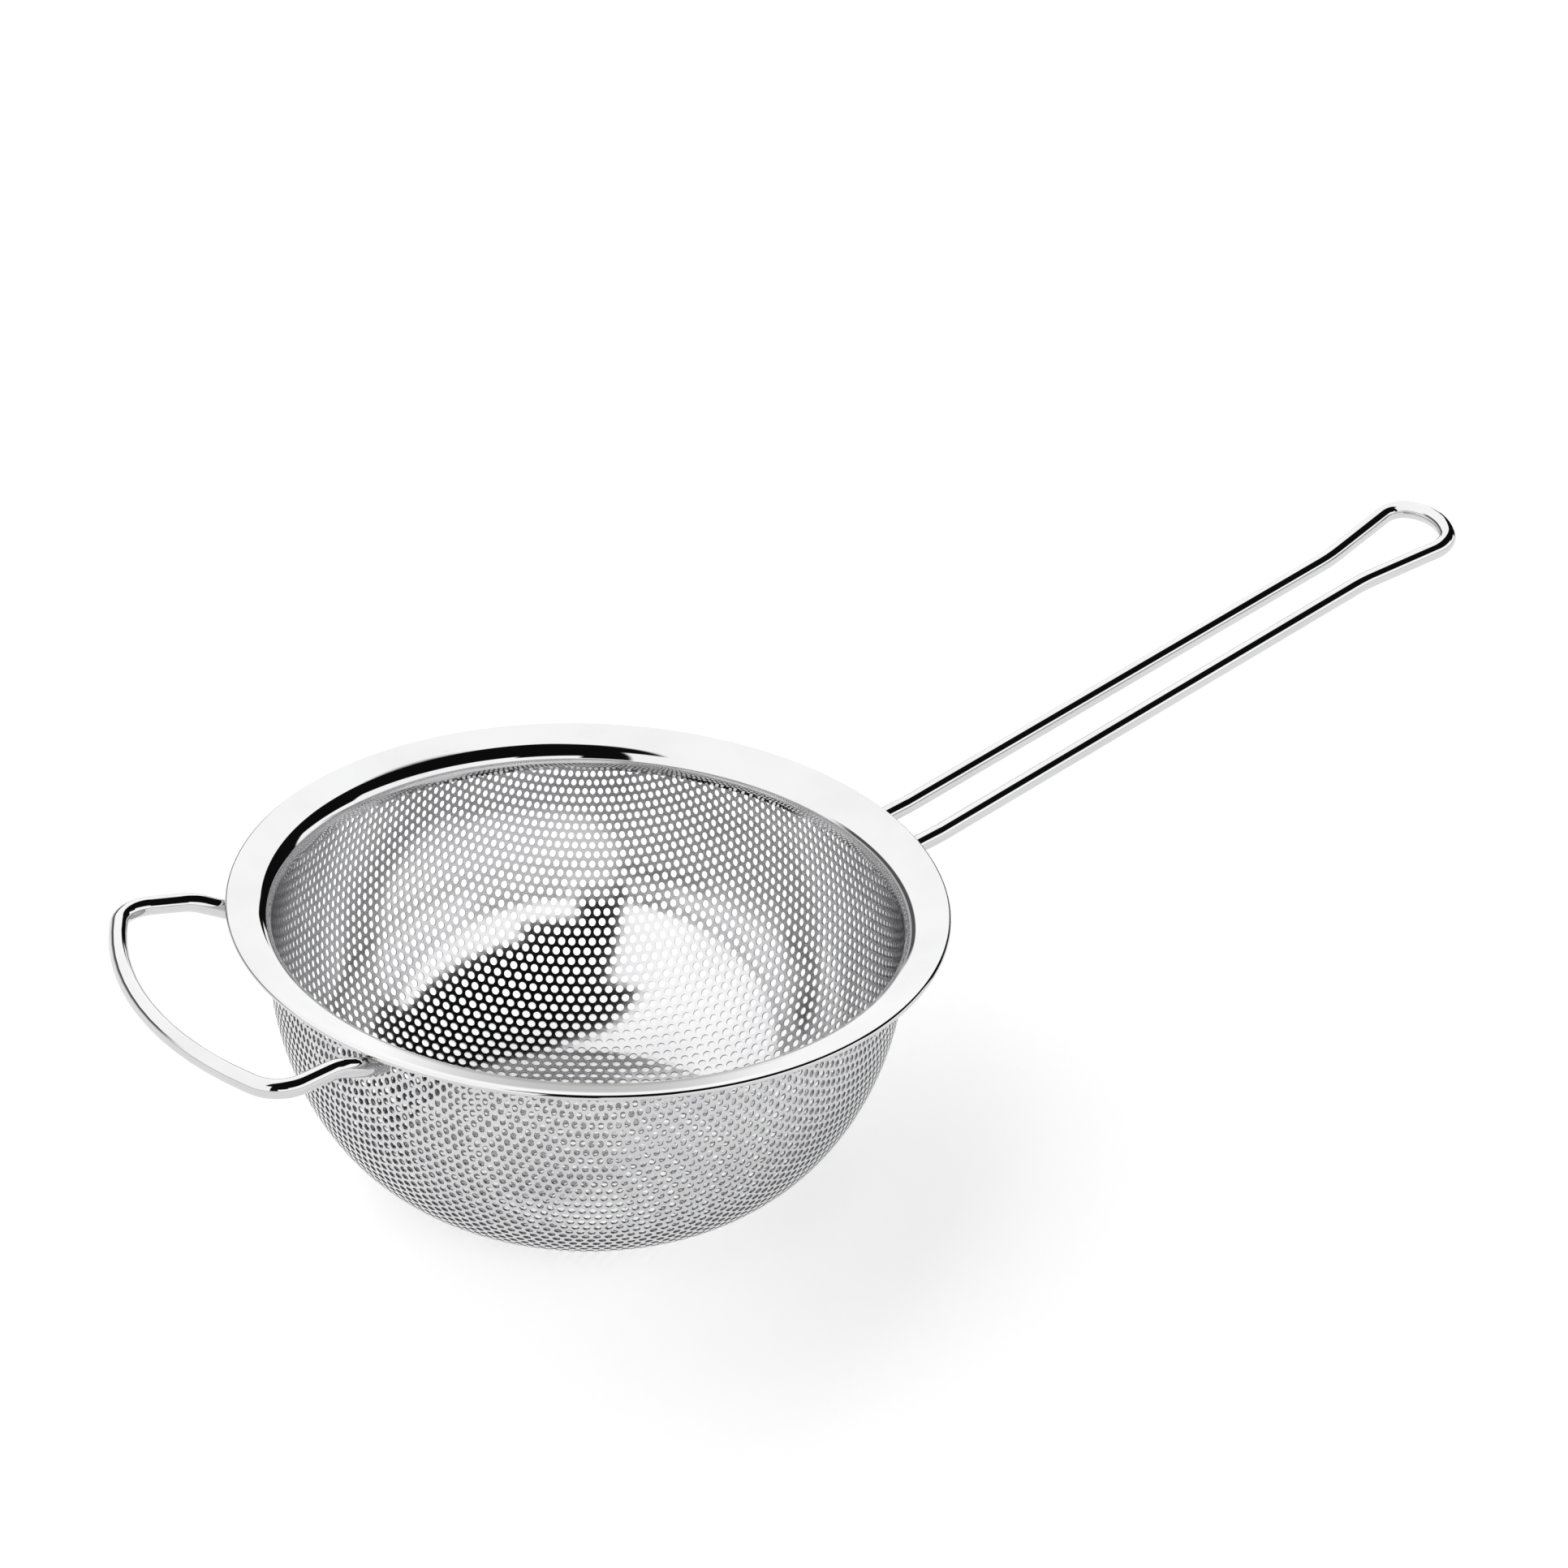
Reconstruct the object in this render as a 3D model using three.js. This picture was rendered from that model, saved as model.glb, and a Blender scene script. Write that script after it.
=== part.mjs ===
// A kitchen strainer of stainless steel: a bowl drawn from perforated sheet, a hemmed rim ring
// that grips the bowl's edge, a handle bent from one wire, a support loop bent from another,
// and the four welds that hold the wires' ends to the rim.
//
// Millimetres, +Z up. The origin is the centre of the bowl's flat underside, and the handle
// points along +X.

import * as THREE from 'three';

// ---------------------------------------------------------------- driving dimensions

const rimRadius = 80; // to the hem's outer edge
const strainerHeight = 67; // from the underside of the base to the top of the rim

const bowlSheet = 0.4; // thickness of the perforated sheet
const bowlWallRadius = 70.8; // outside of the upright wall
const bowlBaseRadius = 31; // of the flat that it stands on
const bowlWallStraight = 6.14; // of the wall, from the roll's centre down to where it starts to curve in

const ringSheet = 0.4; // thickness of the rim ring's sheet
const sheetGap = 0.1; // between the ring and the bowl that it grips
const collarStraight = 1.64; // of the collar, from the roll's centre down to its lower edge
const flangeSlope = 15; // degrees that the flange falls towards the bowl
const rollRadius = 4; // of the bend from the collar to the flange
const lipWidth = 5; // of the sheet that is folded back under the flange

const wireRadius = 2.15; // of both wires
const weldGap = 0.5; // between the rim's underside and a wire
const weldLength = 4;
const weldWidth = 5.2; // across the wire, where the weld meets the rim
const weldClearance = 0.1; // that a weld keeps to what it joins
const wireEndMargin = 0.4; // from the lip's inner edge to a weld

const handleRise = 18.96; // degrees above the level
const handleStartDepth = 4.43; // of the wire's centre below the rim's top, at the rim radius
const handleHalfGapRim = 7.2; // from the middle to a wire's centre, at the rim
const handleHalfGapEye = 6.8; // the same, where the hanging eye starts
const handleLength = 157.2; // from the rim's edge to the centre of the wire at the tip
const eyeLength = 26.7; // from where the wires part to the tip
const eyeHalfWidth = 10.9; // to the corner of the eye, before it is rounded
const eyeCornerInset = 3.9; // from the tip back to the corner
const eyeBowAngle = 30; // degrees between the end of the eye's bow and square across
const eyeCornerRadius = 5.4;
const eyeStartRadius = 29;

const loopReach = 25.2; // from the rim's edge to the centre of the wire at the loop's end
const loopDepth = 1.1; // of the wire's centre below the rim's top
const loopHalfWidth = 40.8; // to the corner of the loop, before it is rounded
const loopCornerInset = 11.3; // from the loop's end back to the corner
const loopSplay = 14.8; // degrees that each arm turns outwards
const loopBowAngle = 26.5;
const loopCornerRadius = 8.1;
const loopDropReach = 1; // how far inside the rim radius, along X, the arms start to drop

const bendRadius = 12; // of the small bends near the welds
const roundSegments = 60; // around the bowl and the rim
const wireSides = 12;
const bendStep = 8; // most degrees that a facet turns round a bend; every bend has one at its middle

// ---------------------------------------------------------------- what follows from them

const slope = THREE.MathUtils.degToRad(flangeSlope);
const downSlope = new THREE.Vector2(-Math.cos(slope), -Math.sin(slope));
const flangeNormal = new THREE.Vector2(-Math.sin(slope), Math.cos(slope));
const hemRadius = ringSheet + sheetGap + bowlSheet / 2;
const hemCentre = new THREE.Vector2(rimRadius - hemRadius, strainerHeight - hemRadius);
const collarInnerRadius = bowlWallRadius - bowlSheet - sheetGap - ringSheet;
const rollCentre = findRollCentre();
const wireOffset = hemRadius + weldGap + wireRadius; // from the hem's middle plane to a wire's centre
const lipEndRadius = hemCentre.x - hemRadius * flangeNormal.x + lipWidth * downSlope.x;

// The roll is tangent to the collar's inner face and to the flange's upper face.
function findRollCentre() {
  const radius = collarInnerRadius + rollRadius;
  const onFlange = hemCentre.clone().addScaledVector(flangeNormal, hemRadius - rollRadius);
  const along = (radius - onFlange.x) / downSlope.x;
  return onFlange.addScaledVector(downSlope, along);
}

// ---------------------------------------------------------------- sheet metal

function arcPoints(centre, radius, startDegrees, endDegrees, steps) {
  const points = [];
  for (let i = 0; i <= steps; i += 1) {
    const degrees = THREE.MathUtils.lerp(startDegrees, endDegrees, i / steps);
    const angle = THREE.MathUtils.degToRad(degrees);
    points.push(new THREE.Vector2(Math.cos(angle), Math.sin(angle)).multiplyScalar(radius).add(centre));
  }
  return points;
}

// One side of a sheet whose middle follows the path: each point moves along the path's right-hand
// normal, mitred so that both sides stay parallel to it.
function offsetPath(path, distance) {
  return path.map((point, i) => {
    const before = path[Math.max(i - 1, 0)];
    const after = path[Math.min(i + 1, path.length - 1)];
    const arriving = i === 0 ? after.clone().sub(point) : point.clone().sub(before);
    const leaving = i === path.length - 1 ? arriving.clone() : after.clone().sub(point);
    const mean = arriving.normalize().clone().add(leaving.normalize()).normalize();
    const mitre = distance / mean.dot(arriving);
    return new THREE.Vector2(point.x + mean.y * mitre, point.y - mean.x * mitre);
  });
}

// A sheet of revolution: the path is the middle of its section, in radius and height.
function spunSheet(path, thickness) {
  const outer = offsetPath(path, thickness / 2);
  const inner = offsetPath(path, -thickness / 2).reverse();
  const outline = [...outer, ...inner];
  if (path[0].x > 0) {
    outline.push(outline[0].clone());
  }
  const geometry = new THREE.LatheGeometry(outline, roundSegments);
  geometry.rotateX(Math.PI / 2);
  return geometry;
}

// The bowl: flat base, elliptical corner, upright wall, and a flange gripped inside the hem.
function bowlPath() {
  const middleRadius = bowlWallRadius - bowlSheet / 2;
  const cornerTop = rollCentre.y - bowlWallStraight;
  const cornerWidth = middleRadius - bowlBaseRadius;
  const cornerHeight = cornerTop - bowlSheet / 2;
  const path = [new THREE.Vector2(0, bowlSheet / 2)];
  const steps = 10;
  for (let i = 0; i <= steps; i += 1) {
    const angle = (Math.PI / 2) * (i / steps);
    path.push(new THREE.Vector2(
      bowlBaseRadius + cornerWidth * Math.sin(angle),
      cornerTop - cornerHeight * Math.cos(angle),
    ));
  }
  const bendRadiusMiddle = rollCentre.x - middleRadius;
  path.push(...arcPoints(rollCentre, bendRadiusMiddle, 180, 90 + flangeSlope, 5));
  path.push(hemCentre.clone().addScaledVector(downSlope, sheetGap * 3));
  return path;
}

// The rim ring: collar inside the bowl, roll, flange, hem round the bowl's edge, and lip.
function ringPath() {
  const collarMiddle = collarInnerRadius + ringSheet / 2;
  const hem = arcPoints(hemCentre, hemRadius - ringSheet / 2, 90 + flangeSlope, flangeSlope - 90, 6);
  return [
    new THREE.Vector2(collarMiddle, rollCentre.y - collarStraight),
    ...arcPoints(rollCentre, rollRadius - ringSheet / 2, 180, 90 + flangeSlope, 5),
    ...hem,
    hem[hem.length - 1].clone().addScaledVector(downSlope, lipWidth),
  ];
}

// ---------------------------------------------------------------- bent wire

// A wire bent at the given corners, each with its own radius. It is cut square at each end of a
// straight and every few degrees round a bend, so straights cost no extra facets.
class BentWire extends THREE.Curve {
  constructor(corners, radii) {
    super();
    const last = corners.length - 1;
    this.stations = [];
    this.addStation(corners[0], corners[1].clone().sub(corners[0]));
    for (let i = 1; i < last; i += 1) {
      this.addBend(corners[i - 1], corners[i], corners[i + 1], radii[i - 1]);
    }
    this.addStation(corners[last], corners[last].clone().sub(corners[last - 1]));
  }

  addStation(point, direction) {
    this.stations.push({ point: point.clone(), tangent: direction.clone().normalize() });
  }

  addBend(before, corner, after, radius) {
    const arriving = corner.clone().sub(before).normalize();
    const leaving = after.clone().sub(corner).normalize();
    const turn = arriving.angleTo(leaving);
    const setback = radius * Math.tan(turn / 2);
    const axis = arriving.clone().cross(leaving).normalize();
    const start = corner.clone().addScaledVector(arriving, -setback);
    const centre = start.clone().addScaledVector(axis.clone().cross(arriving), radius);
    const spoke = start.clone().sub(centre);
    const steps = 2 * Math.ceil(turn / (2 * THREE.MathUtils.degToRad(bendStep)));
    for (let i = 0; i <= steps; i += 1) {
      const angle = (turn * i) / steps;
      const point = spoke.clone().applyAxisAngle(axis, angle).add(centre);
      this.addStation(point, arriving.clone().applyAxisAngle(axis, angle));
    }
  }

  getPointAt(u, target = new THREE.Vector3()) {
    return target.copy(this.stations[Math.round(u * (this.stations.length - 1))].point);
  }

  getTangentAt(u, target = new THREE.Vector3()) {
    return target.copy(this.stations[Math.round(u * (this.stations.length - 1))].tangent);
  }
}

function wireGeometry(corners, radii) {
  const path = new BentWire(corners, radii);
  const section = new THREE.Shape();
  for (let i = 0; i < wireSides; i += 1) {
    const angle = (2 * Math.PI * i) / wireSides;
    const x = wireRadius * Math.cos(angle);
    const y = wireRadius * Math.sin(angle);
    if (i === 0) {
      section.moveTo(x, y);
    } else {
      section.lineTo(x, y);
    }
  }
  section.closePath();
  return new THREE.ExtrudeGeometry(section, { steps: path.stations.length - 1, extrudePath: path });
}

// The far corners of a wire's closed end: the two corners and, between them, the point whose
// bend is the bow, with the bow's radius. The bow's middle lies at the given reach.
function bowedEnd(reach, cornerInset, halfWidth, bowAngle) {
  const angle = THREE.MathUtils.degToRad(bowAngle);
  const corner = reach - cornerInset;
  const apex = corner + halfWidth * Math.tan(angle);
  const radius = (apex - reach) / (1 / Math.cos(angle) - 1);
  return { corner, apex, radius };
}

// A point under the rim at a plan position, where a wire's centre lies when it is welded there.
function underRim(x, y) {
  const inward = hemCentre.x - Math.hypot(x, y);
  const height = hemCentre.y - inward * Math.tan(slope) - wireOffset / Math.cos(slope);
  return new THREE.Vector3(x, y, height);
}

function mirrored(points) {
  return points.map((point) => new THREE.Vector3(point.x, -point.y, point.z)).reverse();
}

// Where a straight wire's plan line, through a point and along a direction, meets a radius.
function planPointAtRadius(point, direction, radius) {
  const along = point.dot(direction);
  const across = point.lengthSq() - along * along;
  return point.clone().addScaledVector(direction, Math.sqrt(radius * radius - across) - along);
}

const weldInnerRadius = lipEndRadius + wireEndMargin;
const wireEndRadius = lipEndRadius - wireEndMargin;

// Half of the handle, from the end under the rim to the corner of the eye.
function handleHalf() {
  const rise = THREE.MathUtils.degToRad(handleRise);
  const at = (distance, y) => new THREE.Vector3(
    rimRadius + distance * Math.cos(rise),
    y,
    strainerHeight - handleStartDepth + distance * Math.sin(rise),
  );
  const eye = bowedEnd(handleLength, eyeCornerInset, eyeHalfWidth, eyeBowAngle);
  const plan = new THREE.Vector2(rimRadius, handleHalfGapRim);
  const end = planPointAtRadius(plan, new THREE.Vector2(1, 0), wireEndRadius);
  const weldEnd = underRim(end.x, end.y);
  const rim = underRim(rimRadius, handleHalfGapRim);
  const weldSlope = (rim.z - weldEnd.z) / (rim.x - weldEnd.x);
  const toKink = (rim.z - at(0, 0).z) / (Math.tan(rise) - weldSlope);
  const kink = at(toKink / Math.cos(rise), handleHalfGapRim);
  return {
    corners: [weldEnd, kink, at(handleLength - eyeLength, handleHalfGapEye), at(eye.corner, eyeHalfWidth)],
    apex: at(eye.apex, 0),
    bowRadius: eye.radius,
  };
}

function handleGeometry() {
  const half = handleHalf();
  const radii = [bendRadius, eyeStartRadius, eyeCornerRadius];
  return wireGeometry(
    [...half.corners, half.apex, ...mirrored(half.corners)],
    [...radii, half.bowRadius, ...radii.slice().reverse()],
  );
}

// Half of the support loop, from the end under the rim to the loop's corner. It lies along -X.
function loopHalf() {
  const splay = THREE.MathUtils.degToRad(loopSplay);
  const outward = new THREE.Vector2(-Math.cos(splay), Math.sin(splay));
  const end = bowedEnd(rimRadius + loopReach, loopCornerInset, loopHalfWidth, loopBowAngle);
  const height = strainerHeight - loopDepth;
  const corner = new THREE.Vector2(-end.corner, loopHalfWidth);
  const drop = corner.clone().addScaledVector(outward, -(end.corner - rimRadius + loopDropReach) / Math.cos(splay));
  const rim = planPointAtRadius(corner, outward, rimRadius);
  const weldEnd = planPointAtRadius(corner, outward, wireEndRadius);
  return {
    corners: [
      underRim(weldEnd.x, weldEnd.y),
      underRim(rim.x, rim.y),
      new THREE.Vector3(drop.x, drop.y, height),
      new THREE.Vector3(corner.x, corner.y, height),
    ],
    apex: new THREE.Vector3(-end.apex, 0, height),
    bowRadius: end.radius,
  };
}

function loopGeometry() {
  const half = loopHalf();
  const radii = [bendRadius, bendRadius, loopCornerRadius];
  return wireGeometry(
    [...half.corners, half.apex, ...mirrored(half.corners)],
    [...radii, half.bowRadius, ...radii.slice().reverse()],
  );
}

// ---------------------------------------------------------------- welds

// A saddle of weld metal between a wire and the rim's underside: flat against the rim above, and
// hollowed below by the wire, whose centre runs along the section's origin.
function weldGeometry() {
  const flank = THREE.MathUtils.degToRad(35);
  const saddleRadius = wireRadius + weldClearance;
  const top = wireRadius + weldGap - weldClearance;
  const section = new THREE.Shape();
  section.moveTo(weldWidth / 2, top);
  section.lineTo(-weldWidth / 2, top);
  section.absarc(0, 0, saddleRadius, Math.PI - flank, flank, true);
  section.closePath();
  return new THREE.ExtrudeGeometry(section, { depth: weldLength, bevelEnabled: false, curveSegments: 8 });
}

// Lays a weld on the wire that runs outwards under the rim from its end point.
function placeWeld(mesh, wireEnd, next) {
  const plan = new THREE.Vector2(next.x - wireEnd.x, next.y - wireEnd.y).normalize();
  const start = planPointAtRadius(new THREE.Vector2(wireEnd.x, wireEnd.y), plan, weldInnerRadius);
  const middle = start.clone().addScaledVector(plan, weldLength / 2);
  const radial = middle.clone().normalize();
  const normal = new THREE.Vector3(
    radial.x * flangeNormal.x,
    radial.y * flangeNormal.x,
    flangeNormal.y,
  );
  const along = new THREE.Vector3(plan.x, plan.y, Math.tan(slope) * plan.dot(radial)).normalize();
  const across = normal.clone().cross(along);
  const centre = underRim(middle.x, middle.y);
  mesh.quaternion.setFromRotationMatrix(new THREE.Matrix4().makeBasis(across, normal, along));
  mesh.position.copy(centre.addScaledVector(along, -weldLength / 2));
}

// ---------------------------------------------------------------- the assembly

const perforatedSteel = { color: 0xc4c6c6, roughness: 0.35, metalness: 1 };
const mirrorSteel = { color: 0xe2e4e6, roughness: 0.08, metalness: 1 };
const weldSteel = { color: 0xb4b2ae, roughness: 0.4, metalness: 1 };

function namedMesh(name, geometry, finish) {
  const mesh = new THREE.Mesh(geometry, new THREE.MeshStandardMaterial(finish));
  mesh.name = name;
  return mesh;
}

function weldPair(prefix, half) {
  const pair = new THREE.Group();
  for (const [side, points] of [['left', half.corners], ['right', mirrored(half.corners).reverse()]]) {
    const mesh = namedMesh(`${prefix}_${side}`, weldGeometry(), weldSteel);
    placeWeld(mesh, points[0], points[1]);
    pair.add(mesh);
  }
  return pair;
}

const strainer = new THREE.Group();
strainer.add(namedMesh('perforated_bowl', spunSheet(bowlPath(), bowlSheet), perforatedSteel));
strainer.add(namedMesh('rim_ring', spunSheet(ringPath(), ringSheet), mirrorSteel));
strainer.add(namedMesh('handle_wire', handleGeometry(), mirrorSteel));
strainer.add(namedMesh('support_loop_wire', loopGeometry(), mirrorSteel));
strainer.add(weldPair('handle_weld', handleHalf()));
strainer.add(weldPair('support_weld', loopHalf()));

export default strainer;
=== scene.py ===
# %% [markdown]
# # A perforated kitchen strainer, in cells
#
# The strainer is made of sheet and wire, all stainless steel: a bowl pressed from perforated
# sheet, a rim ring folded over the bowl's edge, a handle and a support loop that are each bent
# from one polished wire, and four small welds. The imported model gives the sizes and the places.
# Every piece here is modelled at full detail around it, so each one replaces its plain solid.

# %% Load the frame
import math

import bmesh
import bpy
import numpy as np
from mathutils import Matrix, Vector


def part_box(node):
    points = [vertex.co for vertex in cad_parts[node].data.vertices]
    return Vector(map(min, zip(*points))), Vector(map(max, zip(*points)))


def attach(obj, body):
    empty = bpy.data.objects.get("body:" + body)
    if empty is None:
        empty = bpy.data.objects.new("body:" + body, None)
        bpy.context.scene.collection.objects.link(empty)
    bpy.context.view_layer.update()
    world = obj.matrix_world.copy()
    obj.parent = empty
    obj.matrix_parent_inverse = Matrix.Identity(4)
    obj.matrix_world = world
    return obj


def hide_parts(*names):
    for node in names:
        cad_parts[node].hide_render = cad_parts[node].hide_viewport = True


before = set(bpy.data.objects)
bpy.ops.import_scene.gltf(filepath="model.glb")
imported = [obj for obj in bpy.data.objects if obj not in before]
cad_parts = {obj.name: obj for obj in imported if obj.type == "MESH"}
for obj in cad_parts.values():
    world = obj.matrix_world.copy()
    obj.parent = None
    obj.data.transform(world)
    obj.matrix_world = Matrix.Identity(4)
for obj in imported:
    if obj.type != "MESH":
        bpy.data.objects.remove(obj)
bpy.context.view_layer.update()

# %% [markdown]
# ## Sizes
#
# The rim gives the two sizes that everything hangs on, its radius and its height. The sheet and
# wire sizes are the stock that the maker buys, so they are set by themselves, in millimetres.

# %% Sizes
MM = 0.001
RIM_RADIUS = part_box("rim_ring")[1][1]
RIM_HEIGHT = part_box("rim_ring")[1][2]
SHEET = 0.4 * MM
SHEET_GAP = 0.1 * MM
WIRE_RADIUS = 2.13 * MM
print("rim radius %.2f mm, height %.2f mm" % (RIM_RADIUS / MM, RIM_HEIGHT / MM))

# %% [markdown]
# ## Helpers for modelling
#
# An operator acts on whatever is selected, and the loaded frame is selected, so each piece
# starts from a clean slate. A new primitive sits at its place with its mesh in world units.


# %% Helpers for modelling
def clean_slate():
    if bpy.context.object and bpy.context.object.mode != "OBJECT":
        bpy.ops.object.mode_set(mode="OBJECT")
    bpy.ops.object.select_all(action="DESELECT")


def named(name):
    piece = bpy.context.object
    piece.name = name
    piece.data.name = name
    return piece


def edit(piece):
    clean_slate()
    piece.select_set(True)
    bpy.context.view_layer.objects.active = piece
    bpy.ops.object.mode_set(mode="EDIT")
    return bmesh.from_edit_mesh(piece.data)


def select_only(piece, kind, wanted):
    """Selects the faces, edges or vertices that wanted() picks, and says how many."""
    mesh = bmesh.from_edit_mesh(piece.data)
    bpy.context.tool_settings.mesh_select_mode = [kind == k for k in ("verts", "edges", "faces")]
    bpy.ops.mesh.select_all(action="DESELECT")
    count = 0
    for element in getattr(mesh, kind):
        if wanted(element):
            element.select_set(True)
            count += 1
    mesh.select_flush_mode()
    bmesh.update_edit_mesh(piece.data)
    return count


def apply_all(piece):
    clean_slate()
    piece.select_set(True)
    bpy.context.view_layer.objects.active = piece
    for modifier in list(piece.modifiers):
        bpy.ops.object.modifier_apply(modifier=modifier.name)


def in_place(piece):
    """Puts the object's place into its mesh, so that the object sits at the origin."""
    clean_slate()
    piece.select_set(True)
    bpy.context.view_layer.objects.active = piece
    bpy.ops.object.transform_apply(location=True, rotation=True, scale=True)


def smooth(piece, degrees):
    clean_slate()
    piece.select_set(True)
    bpy.context.view_layer.objects.active = piece
    bpy.ops.object.shade_smooth_by_angle(angle=math.radians(degrees))


def report(piece):
    """Prints the piece's triangles and its box, and whether its surface is closed."""
    mesh = bmesh.new()
    mesh.from_mesh(piece.data)
    open_edges = sum(1 for e in mesh.edges if len(e.link_faces) != 2)
    volume = mesh.calc_volume(signed=True)
    mesh.free()
    triangles = sum(len(p.vertices) - 2 for p in piece.data.polygons)
    size = [round(d / MM, 1) for d in piece.dimensions]
    print(piece.name, triangles, "triangles,", size, "mm, open edges", open_edges,
          "volume %.2f cm3" % (volume * 1e6))


# %% [markdown]
# ## The sheet's section
#
# The bowl and its rim ring are round, so one section through the wall says it all. The flange
# falls inwards at 15 degrees and rolls down into the collar; the ring's sheet folds round the
# bowl's edge as a hem. Both sections are built from the same few points, so they nest.

# %% The rim's section
WALL_RADIUS = 70.8 * MM
BASE_RADIUS = 31 * MM
WALL_STRAIGHT = 6.14 * MM
COLLAR_STRAIGHT = 1.64 * MM
ROLL_RADIUS = 4 * MM
LIP_WIDTH = 5 * MM
SLOPE_DEGREES = 15
SLOPE = math.radians(SLOPE_DEGREES)

down_slope = Vector((-math.cos(SLOPE), -math.sin(SLOPE)))
flange_normal = Vector((-math.sin(SLOPE), math.cos(SLOPE)))
hem_radius = SHEET + SHEET_GAP + SHEET / 2
hem_centre = Vector((RIM_RADIUS - hem_radius, RIM_HEIGHT - hem_radius))
collar_inside = WALL_RADIUS - SHEET - SHEET_GAP - SHEET
roll_x = collar_inside + ROLL_RADIUS
on_flange = hem_centre + flange_normal * (hem_radius - ROLL_RADIUS)
roll_centre = on_flange + down_slope * ((roll_x - on_flange.x) / down_slope.x)
print("roll centre", [round(v / MM, 2) for v in roll_centre])


def arc(centre, radius, start, end, steps):
    """Points on an arc from one bearing to another, in degrees."""
    angles = [math.radians(start + (end - start) * i / steps) for i in range(steps + 1)]
    return [centre + radius * Vector((math.cos(a), math.sin(a))) for a in angles]


# %% [markdown]
# ## The rim ring
#
# The real ring is a strip rolled into a hoop and folded: a collar inside the bowl, a roll, a
# sloping flange, and a hem that wraps the bowl's edge and tucks a lip underneath. A hoop is a
# section spun about its axis, so the section is drawn as a chain of points by extruding one
# vertex, spun once round, and given its sheet thickness by Solidify.


# %% Spin a section
def spun_sheet(name, section, thickness, steps):
    clean_slate()
    bpy.ops.mesh.primitive_plane_add(size=MM)
    piece = named(name)
    edit(piece)
    bpy.ops.mesh.merge(type="CENTER")
    bpy.ops.transform.translate(value=(section[0].x, 0, section[0].y))
    for here, there in zip(section, section[1:]):
        move = (there.x - here.x, 0, there.y - here.y)
        bpy.ops.mesh.extrude_region_move(TRANSFORM_OT_translate={"value": move})
    bpy.ops.mesh.select_all(action="SELECT")
    bpy.ops.mesh.spin(steps=steps, angle=math.tau, center=(0, 0, 0), axis=(0, 0, 1))
    bpy.ops.mesh.select_all(action="SELECT")
    bpy.ops.mesh.remove_doubles(threshold=0.01 * MM)
    bpy.ops.mesh.normals_make_consistent(inside=False)
    bpy.ops.object.mode_set(mode="OBJECT")
    wall = piece.modifiers.new("sheet", "SOLIDIFY")
    wall.thickness = thickness
    wall.offset = 0
    wall.use_even_offset = True
    apply_all(piece)
    return piece


# %% The rim ring
RIM_STEPS = 240
FOLD_STEPS = 16
collar_middle = collar_inside + SHEET / 2
on_top = 90 + SLOPE_DEGREES
underneath = SLOPE_DEGREES - 90
hem = arc(hem_centre, hem_radius - SHEET / 2, on_top, underneath, FOLD_STEPS)
flange_in = arc(roll_centre, ROLL_RADIUS - SHEET / 2, 180, on_top, FOLD_STEPS)
collar_foot = Vector((collar_middle, roll_centre.y - COLLAR_STRAIGHT))
flange_line = [flange_in[-1].lerp(hem[0], i / 4) for i in range(1, 4)]
ring_section = [collar_foot, collar_foot.lerp(flange_in[0], 0.5)] + flange_in + flange_line + hem
lip_end = hem[-1] + down_slope * LIP_WIDTH
ring_section += [hem[-1].lerp(lip_end, 0.5), lip_end]
rim = spun_sheet("folded_rim_ring", ring_section, SHEET, RIM_STEPS)
smooth(rim, 40)
report(rim)

# %% [markdown]
# ## The perforated blank
#
# Perforated sheet is punched flat, cut to a disc and then pressed, and the model does the same.
# One cell of the punched pattern is a twelve-sided hole with its share of sheet: three bars to
# its neighbours and two three-cornered islands. Two Array modifiers lay it out in rows.

# %% One cell of the pattern
PITCH = 2.7 * MM
HOLE_RADIUS = 0.95 * MM
HOLE_SIDES = 12
CORNER_REACH = 1.012  # the corners stand out past the round hole, so the sides lie on it
ROW = PITCH * math.sqrt(3) / 2
hole_corner = HOLE_RADIUS * CORNER_REACH
turn = math.pi / HOLE_SIDES
NEAR_ENOUGH = 0.01 * MM
clean_slate()
bpy.ops.mesh.primitive_circle_add(vertices=HOLE_SIDES, radius=hole_corner)
blank = named("perforated_blank")
edit(blank)
bpy.ops.mesh.select_all(action="SELECT")
bpy.ops.transform.rotate(value=turn, orient_axis="Z", center_override=(0, 0, 0))
for centre in ((PITCH, 0), (PITCH / 2, ROW), (-PITCH / 2, ROW)):
    bpy.ops.mesh.primitive_circle_add(vertices=HOLE_SIDES, radius=hole_corner, location=(*centre, 0))
    bpy.ops.transform.rotate(value=turn, orient_axis="Z", center_override=(*centre, 0))


def near(point, reach):
    return lambda vert: (vert.co.xy - Vector(point)).length < reach


def fill_at(distance, degrees):
    """Fills the face whose corners are the ones nearest to a middle, given by its bearing."""
    first_corner = hole_corner * Vector((math.cos(turn), math.sin(turn)))
    first_middle = distance * Vector((math.cos(math.radians(degrees[0])),
                                      math.sin(math.radians(degrees[0]))))
    reach = (first_middle - first_corner).length + NEAR_ENOUGH
    for angle in degrees:
        middle = distance * math.cos(math.radians(angle)), distance * math.sin(math.radians(angle))
        print("corners round a face:", select_only(blank, "verts", near(middle, reach)))
        bpy.ops.mesh.edge_face_add()


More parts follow.
